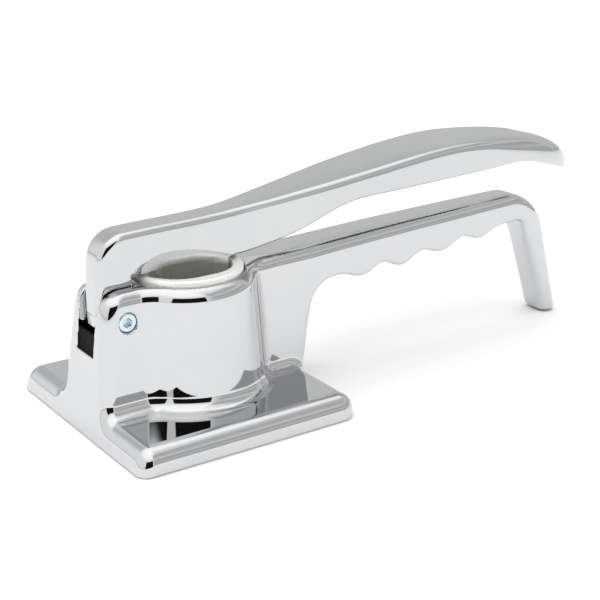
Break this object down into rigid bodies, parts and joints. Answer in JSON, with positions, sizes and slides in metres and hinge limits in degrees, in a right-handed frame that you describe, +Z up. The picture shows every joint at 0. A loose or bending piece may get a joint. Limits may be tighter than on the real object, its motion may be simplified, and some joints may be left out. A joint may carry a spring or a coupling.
{
  "type": "garlic press",
  "caption": "Table-top garlic press: chrome casting with square base, well, grooved handle and leg; hinged lever drives a plunger into a cup with a perforated floor.",
  "frame": {"origin": "on the table plane, under the middle of the whole press", "axes": "+X along the handle, from the hinge towards the palm end of the lever; +Z up; the sides face -Y and +Y"},
  "size_m": [0.2186, 0.0894, 0.08],
  "materials": {
    "chrome_casting": "polished chrome plate over a zinc casting",
    "chrome_lever": "polished chrome plate over a zinc casting",
    "cup_polished": "bright polished cast cup",
    "black_rubber": "matt black rubber",
    "steel": "ground steel",
    "zinc_screw": "bluish zinc-plated steel",
    "nylon": "natural nylon",
    "stainless": "stainless steel, lightly polished",
    "grey_seal": "grey silicone"
  },
  "bodies": {
    "frame": {"body_casting": "chrome_casting", "press_cup": "cup_polished", "sieve_plate": "stainless", "sieve_ring": "stainless", "cup_seal": "grey_seal", "pivot_sleeve": "steel", "pivot_screw_near": "zinc_screw", "pivot_screw_far": "zinc_screw", "washer_near": "nylon", "washer_far": "nylon", "stop_block": "black_rubber", "foot_pads": "black_rubber", "leg_pad": "black_rubber"},
    "lever": {"lever_casting": "chrome_lever", "lever_bush": "nylon"},
    "plunger": {"plunger_head": "stainless", "plunger_pin": "steel", "plunger_clips": "steel"}
  },
  "joints": [
    {"name": "lever_hinge", "type": "hinge", "parent": "frame", "child": "lever", "pos_m": [-0.09485, 0, 0.0398], "axis": [0, -1, 0], "range_deg": [0, 70]},
    {"name": "plunger_hinge", "type": "hinge", "parent": "lever", "child": "plunger", "pos_m": [-0.06565, 0, 0.0288], "axis": [0, -1, 0], "range_deg": [-70, 0]}
  ],
  "couplings": [
    {"joint": "plunger_hinge", "follows": "lever_hinge", "ratio": -1}
  ]
}
